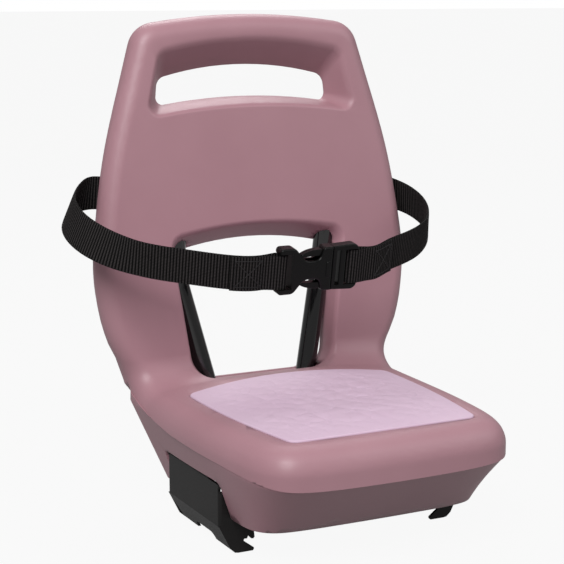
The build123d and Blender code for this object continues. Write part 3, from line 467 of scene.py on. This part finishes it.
@dataclass
class SmoothPath:
    """Smooth curve through points of a plane, walked by its length.

    Attributes:
        points: Points of the plane, in metres.
        samples: Number of points in the fine table.
        reach: Distance to either side over which a direction is taken.
        table: Fine points of the curve.
        along: Length along the curve at each fine point.
    """

    points: list[tuple[float, float]]
    samples: int = 3000
    reach: float = 2e-4
    table: np.ndarray = field(init=False)
    along: np.ndarray = field(init=False)

    def __post_init__(self) -> None:
        """Work out a fine table of the natural cubic spline through the points."""
        pts = np.array(self.points, float)
        t = np.concatenate([[0.0], np.cumsum(np.hypot(*np.diff(pts, axis=0).T))])
        n = len(t)
        h = np.diff(t)
        a = np.eye(n)
        rhs = np.zeros((n, 2))
        for i in range(1, n - 1):
            a[i, i - 1], a[i, i], a[i, i + 1] = h[i - 1], 2 * (h[i - 1] + h[i]), h[i]
            rhs[i] = 6 * ((pts[i + 1] - pts[i]) / h[i] - (pts[i] - pts[i - 1]) / h[i - 1])
        m = np.linalg.solve(a, rhs)
        fine = np.linspace(0, t[-1], self.samples)
        k = np.clip(np.searchsorted(t, fine) - 1, 0, n - 2)
        u, v = (t[k + 1] - fine)[:, None], (fine - t[k])[:, None]
        hk = h[k][:, None]
        self.table = (m[k] * u ** 3 + m[k + 1] * v ** 3) / (6 * hk) \
            + (pts[k] / hk - m[k] * hk / 6) * u + (pts[k + 1] / hk - m[k + 1] * hk / 6) * v
        steps = np.hypot(*np.diff(self.table, axis=0).T)
        self.along = np.concatenate([[0.0], np.cumsum(steps)])

    def length(self) -> float:
        """Length of the curve in metres."""
        return float(self.along[-1])

    def at(self, where: float) -> tuple[np.ndarray, np.ndarray]:
        """Point and direction at a length along the curve.

        Args:
            where: Length from the start, in metres.

        Returns:
            The point and the unit direction, in the plane.
        """
        before, here, after = (
            np.array([np.interp(where + step, self.along, self.table[:, i]) for i in range(2)])
            for step in (-self.reach, 0.0, self.reach))
        d = after - before
        return here, d / max(np.hypot(*d), 1e-12)


@dataclass
class SeatShell:
    """Moulded shell, tray and rear cover.

    Attributes:
        smooth_angle: Sharpest angle in degrees shaded smooth.
    """

    smooth_angle: float = 32.0

    def build(self, frame: dict) -> list[bpy.types.Object]:
        """Build the plastic pieces.

        Args:
            frame: The loaded frame.

        Returns:
            The pieces.
        """
        pieces = []
        for node in ("seat_shell", "base_tray", "back_cover"):
            obj = smooth_copy(frame, node, Body.SEAT, self.smooth_angle)
            pieces.append(dress(obj, MAUVE_PP))
        return pieces


@dataclass
class SeatPad:
    """Soft pad let into the seat.

    Attributes:
        swell_mm: Extra height in the middle of the pad.
        edge_mm: Distance over which its edge rounds down.
        cell_mm: Spacing of the mesh.
        sink: Share of the swell that the edge lies under the solid.
        skin_mm: Height above the underside from which a point belongs to the upper side.
        squareness: Power of the outline, 2 for an ellipse and more for a squarer one.
        smooth_angle: Sharpest angle in degrees shaded smooth.
    """

    swell_mm: float = 1.3
    edge_mm: float = 16.0
    cell_mm: float = 6.0
    sink: float = 0.25
    skin_mm: float = 1.5
    squareness: float = 6.0
    smooth_angle: float = 50.0

    def build(self, frame: dict) -> bpy.types.Object:
        """Build the crowned pad from the solid's outline.

        Args:
            frame: The loaded frame.

        Returns:
            The pad.
        """
        low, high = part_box("seat_pad")
        obj = copy_mesh(frame, "seat_pad")
        bpy.ops.object.mode_set(mode="EDIT")
        for axis in (0, 1):
            count = int((high[axis] - low[axis]) / (self.cell_mm * MM))
            for i in range(1, count):
                place = [0.0, 0.0, 0.0]
                place[axis] = low[axis] + (high[axis] - low[axis]) * i / count
                normal = [0.0, 0.0, 0.0]
                normal[axis] = 1.0
                bpy.ops.mesh.select_all(action="SELECT")
                bpy.ops.mesh.bisect(plane_co=place, plane_no=normal)
        bpy.ops.object.mode_set(mode="OBJECT")
        self._swell(obj, low, high)
        shade(obj, self.smooth_angle, Weight.AREA)
        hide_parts("seat_pad")
        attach(obj, Body.SEAT.value)
        return dress(obj, LILAC_EVA)

    def _swell(self, obj: bpy.types.Object, low: Vector, high: Vector) -> None:
        """Raise the upper side towards the middle and round its edge.

        Args:
            obj: The pad.
            low: Lowest corner of the pad's solid.
            high: Highest corner of the pad's solid.
        """
        mid = [(low[i] + high[i]) / 2 for i in range(2)]
        half = [(high[i] - low[i]) / 2 for i in range(2)]
        floor = {}
        for v in obj.data.vertices:
            key = (round(v.co.x, 4), round(v.co.y, 4))
            floor[key] = min(floor.get(key, 9.0), v.co.z)
        for v in obj.data.vertices:
            rise = v.co.z - floor[(round(v.co.x, 4), round(v.co.y, 4))]
            if rise < self.skin_mm * MM:
                continue
            u, w = abs(v.co.x - mid[0]) / half[0], abs(v.co.y - mid[1]) / half[1]
            power = self.squareness
            inside = (1.0 - (u ** power + w ** power) ** (1 / power)) * min(half)
            soft = 1.0 - np.exp(-max(inside, 0.0) / (self.edge_mm * MM))
            v.co.z += self.swell_mm * MM * (soft - self.sink)


@dataclass(frozen=True)
class Fitting:
    """One hard piece that is a smooth copy of its solid.

    Attributes:
        node: CAD node that the piece replaces.
        body: Body that it rides on.
        finish: Its surface.
        slot: Material slot of the record; not used.
        smooth_angle: Sharpest angle in degrees shaded smooth.
        bevel_mm: Width of the rounding on sharp edges, or 0.
    """

    node: str
    body: Body
    finish: Finish
    slot: Slot
    smooth_angle: float
    bevel_mm: float


@dataclass
class Hardware:
    """Tube, jaws, buckle, clamp and fasteners.

    Attributes:
        fittings: The pieces, in order.
    """

    fittings: tuple[Fitting, ...] = (
        Fitting("frame_tube", Body.SEAT, BLACK_ENAMEL, Slot.TUBE, 40.0, 0.0),
        Fitting("right_jaw", Body.RIGHT_JAW, BLACK_POWDER, Slot.STEEL, 40.0, 0.45),
        Fitting("left_jaw", Body.LEFT_JAW, BLACK_POWDER, Slot.STEEL, 40.0, 0.45),
        Fitting("right_jaw_nut", Body.RIGHT_JAW, ZINC_PLATE, Slot.ZINC, 30.0, 0.0),
        Fitting("left_jaw_nut", Body.LEFT_JAW, ZINC_PLATE, Slot.ZINC, 30.0, 0.0),
        Fitting("buckle_socket", Body.SEAT, BLACK_ACETAL, Slot.PLASTIC, 35.0, 0.35),
        Fitting("buckle_plug", Body.PLUG, BLACK_ACETAL, Slot.PLASTIC, 35.0, 0.35),
        Fitting("clamp_knob", Body.SPINDLE, BLACK_ACETAL, Slot.PLASTIC, 35.0, 0.5),
        Fitting("clamp_spindle", Body.SPINDLE, ZINC_PLATE, Slot.ZINC, 30.0, 0.0),
        Fitting("spindle_rings", Body.SPINDLE, ZINC_PLATE, Slot.ZINC, 30.0, 0.0),
        Fitting("spindle_bearing", Body.SEAT, BLACK_ACETAL, Slot.PLASTIC, 30.0, 0.5),
        Fitting("tube_plugs", Body.SEAT, BLACK_ACETAL, Slot.PLASTIC, 30.0, 0.5),
        Fitting("cross_channel", Body.SEAT, ZINC_PLATE, Slot.ZINC, 30.0, 0.3),
        Fitting("tube_saddles", Body.SEAT, ZINC_PLATE, Slot.ZINC, 30.0, 0.0),
        Fitting("saddle_screws", Body.SEAT, ZINC_PLATE, Slot.ZINC, 30.0, 0.0),
        Fitting("bearing_screws", Body.SEAT, ZINC_PLATE, Slot.ZINC, 30.0, 0.0),
        Fitting("cover_screws", Body.SEAT, ZINC_PLATE, Slot.ZINC, 30.0, 0.0),
        Fitting("tray_screws", Body.SEAT, ZINC_PLATE, Slot.ZINC, 30.0, 0.0),
        Fitting("belt_anchor_bars", Body.SEAT, ZINC_PLATE, Slot.ZINC, 30.0, 0.0),
    )

    def build(self, frame: dict) -> list[bpy.types.Object]:
        """Build every fitting.

        Args:
            frame: The loaded frame.

        Returns:
            The pieces.
        """
        pieces = []
        for fit in self.fittings:
            obj = smooth_copy(frame, fit.node, fit.body, fit.smooth_angle, fit.bevel_mm)
            pieces.append(dress(obj, fit.finish))
        return pieces


@dataclass(frozen=True)
class BeltHalf:
    """One half of the hip belt.

    Attributes:
        node: CAD node that the half replaces.
        side: 1 for the child's left, -1 for the right.
        start_mm: Distance of the buckle bar from the middle.
        half_mm: Greatest half width of the loop.
        slope: Rise of the loop to the rear.
        lean_out: Lean of the webbing's top to the outside where the loop is widest, in degrees.
    """

    node: str
    side: int
    start_mm: float
    half_mm: float
    slope: float
    lean_out: float

    def run(self) -> float:
        """Level distance per distance along the loop's sloping plane."""
        return 1.0 / (1.0 + self.slope ** 2) ** 0.5


@dataclass
class HipBelt:
    """Hip belt: each half is folded round its buckle bar, sewn to itself and looped round its anchor bar.

    Attributes:
        width_mm: Width of the webbing.
        thick_mm: Thickness of the webbing at its ribs.
        lean: Lean of the webbing to the front, in degrees.
        rib_mm: Spacing of the ribs across the webbing.
        groove: Thickness between two ribs, as a share of the thickness.
        rib_rows: Rows of the mesh in one rib.
        columns: Columns of the mesh across the webbing.
        selvedge: Share of the half width from which the ribs flatten to the edge.
        smooth_angle: Sharpest angle in degrees shaded smooth.
        sewn_mm: Length of the doubled end.
        layer_gap_mm: Clearance between the two layers of the doubled end.
        tail_mm: Distance of the tail's first point from the buckle bar.
        flat_mm: Length over which both layers run level from the buckle bar.
        meet: Distance from the buckle bar at which the front layer nears the middle, and what is left there.
        lean_mm: Distance from the middle where the lean to the outside starts, and over which it grows.
        drawn_mm: Half width for which the points of the loop are written.
        front: Y and Z of the loop's front.
        fold_mm: Radius of the fold round a buckle bar.
        loop_mm: Radius of the loop round an anchor bar.
        anchor: X and rearward distance of an anchor bar.
        gap: Rearward distance of the loop behind the rear cover.
        side: Points of the loop outside the back, for a half width of drawn_mm.
        tail: Points of the loop through the rear cover, from the gap.
        halves: Both halves.
        box_mm: Near end, far end and half height of the sewn box, from the strap's tail.
        stitch_mm: Length of a stitch.
        thread_mm: Radius of the sewing thread.
        stitch: Places along a stitch, and its height there as a share of the webbing's.
        proud_mm: Height of the thread above the webbing.
        give: Where the left half follows the plug to, and where it follows the seat from, in metres; not
            used.
    """

    width_mm: float = 30.0
    thick_mm: float = 1.75
    lean: float = 10.0
    rib_mm: float = 2.6
    groove: float = 0.5
    rib_rows: int = 6
    columns: int = 10
    selvedge: float = 0.8
    smooth_angle: float = 60.0
    sewn_mm: float = 50.0
    layer_gap_mm: float = 0.1
    tail_mm: float = 19.0
    flat_mm: float = 7.0
    meet: tuple[float, float] = (21.0, 0.95)
    lean_mm: tuple[float, float] = (138.0, 34.0)
    drawn_mm: float = 180.0
    front: tuple[float, float] = (14.5, 205.0)
    fold_mm: float = 2.9
    loop_mm: float = 3.92
    anchor: tuple[float, float] = (104.0, 110.98)
    gap: float = 132.34
    side: tuple[tuple[float, float], ...] = (
        (88.0, 9.5), (111.0, 18.5), (134.0, 28.5), (155.0, 43.0), (172.0, 64.0), (180.0, 90.0),
        (176.0, 112.0), (163.0, 128.0), (146.0, 135.5))
    tail: tuple[tuple[float, float], ...] = ((126.0, 0.0), (113.5, -1.5), (108.6, -7.0), (108.2, -13.0))
    halves: tuple[BeltHalf, ...] = (
        BeltHalf("belt_webbing_right", -1, 24.4, 178.0, 0.425, -20.0),
        BeltHalf("belt_webbing_left", 1, 39.0, 165.0, 0.34, -10.0))
    box_mm: tuple[float, float, float] = (3.5, 27.5, 11.5)
    stitch_mm: float = 3.0
    thread_mm: float = 0.34
    stitch: tuple[tuple[float, float], ...] = ((0.06, 0.55), (0.22, 1.0), (0.78, 1.0), (0.94, 0.55))
    proud_mm: float = 0.05
    give: tuple[tuple[float, float, float], ...] = ((0.050, 0.015, 0.205), (0.104, 0.125, 0.205))

    def place(self, x: float, s: float, n: float, half: BeltHalf) -> Vector:
        """Point of the belt in the seat's frame.

        Args:
            x: Distance from the middle, in metres.
            s: Distance back along the loop's sloping plane, in metres.
            n: Distance up the webbing's width, in metres.
            half: Half of the belt.

        Returns:
            The point.
        """
        up = radians(self.lean)
        wide = min(max((x / MM - self.lean_mm[0]) / self.lean_mm[1], 0.0), 1.0)
        out = radians(half.lean_out) * wide * wide * (3.0 - 2.0 * wide)
        y = self.front[0] * MM + s * half.run() - n * sin(up) * cos(out)
        z = self.front[1] * MM + s * half.run() * half.slope + n * cos(up) * cos(out)
        return Vector((half.side * (x + n * sin(out)), y, z))

    def path(self, half: BeltHalf) -> SmoothPath:
        """Path of the webbing's middle, from its tail round the buckle bar to its loop on the anchor bar.

        Args:
            half: Half of the belt.

        Returns:
            The path, in metres.
        """
        fold, start = self.fold_mm, half.start_mm
        main = [(start, fold), (start + self.flat_mm, fold), (start + self.meet[0], self.meet[1])]
        main += [(x * half.half_mm / self.drawn_mm, y / half.run()) for x, y in self.side]
        main += [(x, self.gap / half.run() + y) for x, y in self.tail]
        for step in range(11):
            turn = radians(-30.0 * step)
            main.append((self.anchor[0] + self.loop_mm * cos(turn),
                         self.anchor[1] / half.run() + self.loop_mm * sin(turn)))
        plain = SmoothPath([(x * MM, y * MM) for x, y in main])
        layer = []
        for where in np.arange(0.016, 0.07, 0.004):
            p, d = plain.at(where)
            if start + self.tail_mm < p[0] / MM < start + self.sewn_mm:
                gap = (self.thick_mm + self.layer_gap_mm) * MM
                layer.append(((p[0] + d[1] * gap) / MM, (p[1] - d[0] * gap) / MM))
        whole = layer[::-1] + [(start + self.flat_mm, -fold), (start, -fold)]
        for turn in (240.0, 210.0, 180.0, 150.0, 120.0):
            whole.append((start + fold * cos(radians(turn)), fold * sin(radians(turn))))
        return SmoothPath([(x * MM, y * MM) for x, y in whole + main])

    def strap(self, path: SmoothPath, half: BeltHalf) -> bpy.types.Object:
        """Ribbed webbing along a path.

        Args:
            path: Path of the strap's middle.
            half: Half of the belt.

        Returns:
            The strap.
        """
        span = path.length()
        rows = int(span / (self.rib_mm * MM) * self.rib_rows)
        bpy.ops.object.select_all(action="DESELECT")
        bpy.ops.mesh.primitive_grid_add(x_subdivisions=self.columns, y_subdivisions=rows,
                                        size=1.0, calc_uvs=True)
        obj = bpy.context.active_object
        obj.name = half.node + "_strap"
        spots = [path.at(span * i / rows)[0] for i in range(rows + 1)]
        ribs = obj.vertex_groups.new(name="ribs")
        for v in obj.data.vertices:
            row = round((v.co.y + 0.5) * rows)
            wave = 0.5 - 0.5 * cos(2 * pi * span * row / rows / (self.rib_mm * MM))
            edge = 1.0 - max(0.0, abs(v.co.x) * 2.0 - self.selvedge) / (1.0 - self.selvedge) * 0.5
            ribs.add([v.index], wave * edge, "REPLACE")
            x, s = spots[row]
            v.co = self.place(x, s, v.co.x * self.width_mm * MM, half)
        for loop in obj.data.uv_layers.active.data:
            loop.uv = (loop.uv[0] * self.width_mm * MM, loop.uv[1] * span)
        thick = obj.modifiers.new("thick", "SOLIDIFY")
        thick.thickness = self.thick_mm * MM
        thick.offset = 0.0
        thick.vertex_group = "ribs"
        thick.thickness_vertex_group = self.groove
        apply_modifiers(obj)
        only(obj)
        bpy.ops.object.mode_set(mode="EDIT")
        bpy.ops.mesh.select_all(action="SELECT")
        bpy.ops.mesh.normals_make_consistent(inside=False)
        bpy.ops.object.mode_set(mode="OBJECT")
        bpy.ops.object.shade_smooth_by_angle(angle=radians(self.smooth_angle))
        return dress(obj, BLACK_WEBBING)

    def stitches(self, path: SmoothPath, half: BeltHalf) -> bpy.types.Object:
        """Box and cross of thread on the front of the sewn tail.

        Args:
            path: Path of the strap's middle, from its tail.
            half: Half of the belt.

        Returns:
            The stitches.
        """
        near, far, high = self.box_mm
        corners = [(near, -high), (far, -high), (far, high), (near, high)]
        lines = list(zip(corners, corners[1:] + corners[:1]))
        lines += [(corners[0], corners[2]), (corners[1], corners[3])]
        name = half.node + "_stitches"
        data = bpy.data.curves.new(name, "CURVE")
        data.dimensions = "3D"
        data.bevel_depth = self.thread_mm * MM
        data.bevel_resolution = 1
        data.use_fill_caps = True
        for (a0, n0), (a1, n1) in lines:
            count = int(np.hypot(a1 - a0, n1 - n0) / self.stitch_mm)
            for i in range(count):
                spline = data.splines.new("POLY")
                spline.points.add(len(self.stitch) - 1)
                for point, (share, lift) in zip(spline.points, self.stitch):
                    f = (i + share) / count
                    p, d = path.at((a0 + (a1 - a0) * f) * MM)
                    out = (self.thick_mm / 2 * lift + self.proud_mm) * MM
                    rise = (n0 + (n1 - n0) * f) * MM
                    spot = self.place(p[0] - d[1] * out, p[1] + d[0] * out, rise, half)
                    point.co = (spot.x, spot.y, spot.z, 1.0)
        obj = bpy.data.objects.new(name, data)
        bpy.context.scene.collection.objects.link(obj)
        only(obj)
        bpy.ops.object.convert(target="MESH")
        obj = bpy.context.active_object
        bpy.ops.object.shade_smooth()
        return dress(obj, BLACK_THREAD)

    def build(self) -> list[bpy.types.Object]:
        """Build both halves; the right one rides on the seat and the left one is left unattached in place.

        Returns:
            The straps and their stitches.
        """
        pieces = []
        for half in self.halves:
            path = self.path(half)
            strap = self.strap(path, half)
            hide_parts(half.node)
            thread = self.stitches(path, half)
            for obj in (strap, thread):
                if half.side < 0:
                    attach(obj, Body.SEAT.value)
                else:
                    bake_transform(obj)
                pieces.append(obj)
        return pieces


@dataclass
class Studio:
    """Camera, pale floor and soft light.

    Attributes:
        focal_px: Focal length in pixels of the photograph's frame.
        eye_mm: Place of the camera.
        back: Direction from the object to the camera.
        axis_v: Height of the optical axis in the picture, in pixels.
        sensor_mm: Width of the camera's sensor.
        aim: Point that every lamp faces, in metres.
        lamps: Name, place, edge in metres and power in watts of each lamp.
        floor_m: Edge of the floor.
        floor_glow: Share of the floor that is plain white to the camera, so that the shadow stays.
        floor_mirrored: The same for a reflection, as a share of the camera's.
        ambient: Strength of the light from all round.
    """

    focal_px: float = 1600.0
    eye_mm: tuple[float, float, float] = (-623.3, -1171.6, 439.2)
    back: tuple[float, float, float] = (-0.4430, -0.8789, 0.1771)
    axis_v: float = 276.5
    sensor_mm: float = 36.0
    aim: tuple[float, float, float] = (0.0, 0.0, 0.25)
    lamps: tuple[tuple[str, tuple[float, float, float], float, float], ...] = (
        ("key", (-1.15, -1.25, 1.75), 1.2, 52.0),
        ("fill", (1.5, -1.1, 1.5), 1.4, 12.0),
        ("rim", (0.4, 1.2, 1.6), 1.0, 15.0))
    floor_m: float = 60.0
    floor_glow: float = 0.93
    floor_mirrored: float = 0.4
    ambient: float = 0.28

    def build(self, floor_z: float) -> None:
        """Build camera, floor, world and lamps.

        Args:
            floor_z: Height of the floor.
        """
        scene = bpy.context.scene
        scene.view_settings.view_transform = "Standard"
        self._camera(scene)
        self._floor(floor_z)
        self._world(scene)
        for name, place, size, watts in self.lamps:
            self._lamp(name, place, size, watts)

    def _camera(self, scene: bpy.types.Scene) -> None:
        """Add the camera at the photograph's viewing angle."""
        data = bpy.data.cameras.new("view")
        data.sensor_width = self.sensor_mm
        data.lens = self.sensor_mm * self.focal_px / IMAGE_PX
        data.shift_y = (self.axis_v - IMAGE_PX / 2) / IMAGE_PX
        data.dof.use_dof = False
        cam = bpy.data.objects.new("view", data)
        scene.collection.objects.link(cam)
        back = Vector(self.back).normalized()
        right = Vector((0, 0, 1)).cross(back).normalized()
        up = back.cross(right)
        turn = Matrix((right, up, back)).transposed().to_4x4()
        cam.matrix_world = Matrix.Translation(Vector(self.eye_mm) * MM) @ turn
        scene.camera = cam

    def _floor(self, floor_z: float) -> None:
        """Add the pale floor, which shows white to the camera and keeps the shadow."""
        bpy.ops.object.select_all(action="DESELECT")
        bpy.ops.mesh.primitive_plane_add(size=self.floor_m, location=(0, 0, floor_z))
        floor = bpy.context.active_object
        floor.name = "floor"
        mat = bpy.data.materials.new("pale_paper")
        mat.use_nodes = True
        tree = mat.node_tree
        tree.nodes.clear()
        paper = add_node(tree, "ShaderNodeBsdfDiffuse", {"Color": linear("#808080")})
        glow = add_node(tree, "ShaderNodeEmission", {"Color": (1, 1, 1, 1), "Strength": 1.0})
        path = add_node(tree, "ShaderNodeLightPath")
        mirrored = add_node(tree, "ShaderNodeMath",
                            {0: path.outputs["Is Glossy Ray"], 1: self.floor_mirrored},
                            operation="MULTIPLY")
        seen = add_node(tree, "ShaderNodeMath",
                        {0: path.outputs["Is Camera Ray"], 1: mirrored.outputs["Value"]},
                        operation="MAXIMUM")
        share = add_node(tree, "ShaderNodeMath",
                         {0: seen.outputs["Value"], 1: self.floor_glow}, operation="MULTIPLY")
        mix = add_node(tree, "ShaderNodeMixShader",
                       {0: share.outputs["Value"], 1: paper.outputs["BSDF"], 2: glow.outputs["Emission"]})
        out = add_node(tree, "ShaderNodeOutputMaterial")
        tree.links.new(mix.outputs["Shader"], out.inputs["Surface"])
        floor.data.materials.append(mat)
        floor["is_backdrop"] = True

    def _world(self, scene: bpy.types.Scene) -> None:
        """Light from all round, white where the camera sees it, also through a clear piece."""
        world = bpy.data.worlds.new("studio")
        scene.world = world
        world.use_nodes = True
        tree = world.node_tree
        tree.nodes.clear()
        path = add_node(tree, "ShaderNodeLightPath")
        seen = add_node(tree, "ShaderNodeMath",
                        {0: path.outputs["Is Camera Ray"], 1: path.outputs["Is Transmission Ray"]},
                        operation="MAXIMUM")
        level = add_node(tree, "ShaderNodeMapRange",
                         {"Value": seen.outputs["Value"], "To Min": self.ambient, "To Max": 1.0})
        sky = add_node(tree, "ShaderNodeBackground",
                       {"Color": (1, 1, 1, 1), "Strength": level.outputs["Result"]})
        out = add_node(tree, "ShaderNodeOutputWorld")
        tree.links.new(sky.outputs["Background"], out.inputs["Surface"])

    def _lamp(self, name: str, place: tuple[float, float, float], size: float, watts: float) -> None:
        """Add one soft lamp that faces the aim.

        Args:
            name: Name of the lamp.
            place: Where it hangs, in metres.
            size: Edge of its square, in metres.
            watts: Its power.
        """
        data = bpy.data.lights.new(name, "AREA")
        data.size = size
        data.energy = watts
        lamp = bpy.data.objects.new(name, data)
        bpy.context.scene.collection.objects.link(lamp)
        way = Vector(self.aim) - Vector(place)
        lamp.matrix_world = Matrix.Translation(place) @ way.to_track_quat("-Z", "Y").to_matrix().to_4x4()


def main() -> None:
    """Build the seat in order."""
    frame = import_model()
    cad_low, cad_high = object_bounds()
    Studio().build(cad_low[2] - FLOOR_GAP_MM * MM)
    for obj in SeatShell().build(frame):
        LOG.info("built %s", obj.name)
    pad = SeatPad().build(frame)
    LOG.info("built %s", pad.name)
    for obj in Hardware().build(frame):
        LOG.info("built %s", obj.name)
    for obj in HipBelt().build():
        LOG.info("built %s", obj.name)
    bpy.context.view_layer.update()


if __name__ == "__main__":
    logging.basicConfig(level=logging.INFO)
    main()
